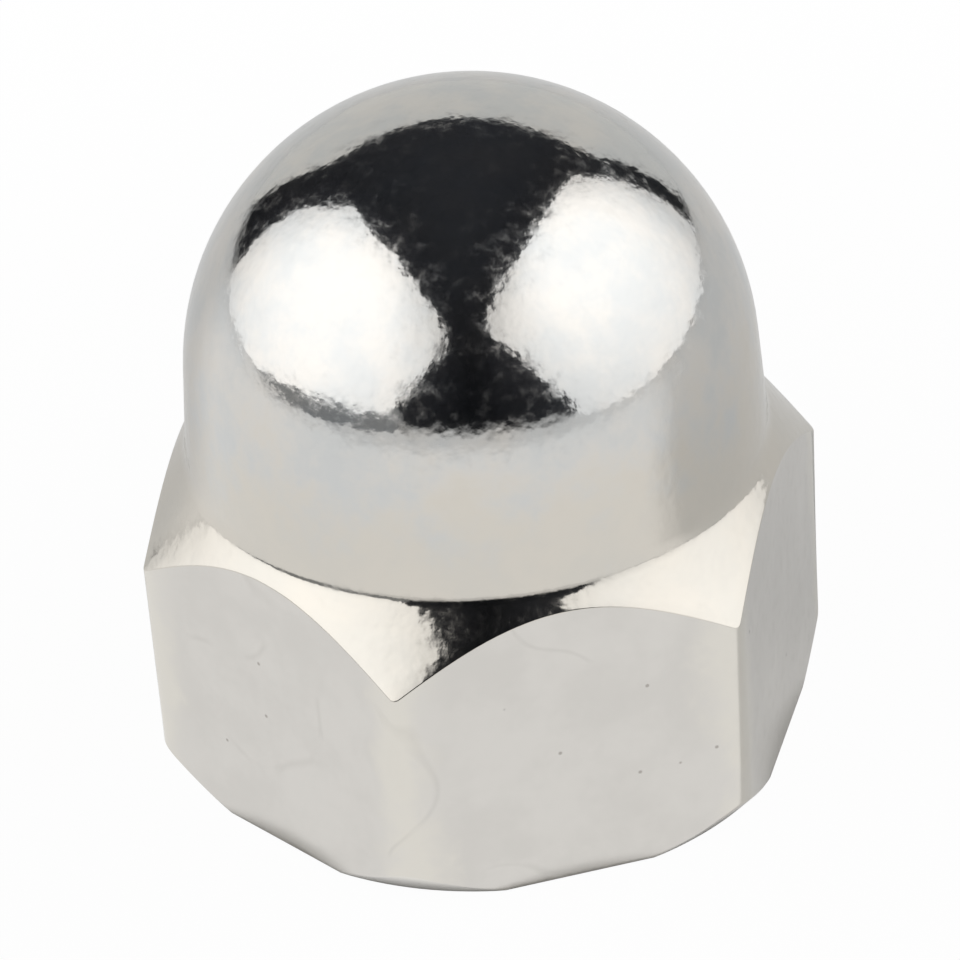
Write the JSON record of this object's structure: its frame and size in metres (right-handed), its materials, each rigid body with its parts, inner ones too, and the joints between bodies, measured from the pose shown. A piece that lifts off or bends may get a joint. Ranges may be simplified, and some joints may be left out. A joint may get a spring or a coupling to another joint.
{
  "type": "cap nut",
  "caption": "Cap nut: a chamfered hexagon with a sloping shoulder, a plain skirt and a closed dome over a blind threaded hole.",
  "frame": {"origin": "centre of the bearing face, on the axis of the hole", "axes": "+Z along the axis of the hole, from the bearing face to the crown of the dome; the flats are square to X and one upright corner faces -Y"},
  "size_m": [0.0188, 0.0214, 0.022],
  "materials": {
    "plated_steel": "bright nickel plate on forged steel, mirror bright with a fine orange peel, duller and faintly pitted on the flats"
  },
  "bodies": {
    "root": {"cap_nut": "plated_steel"}
  },
  "joints": []
}
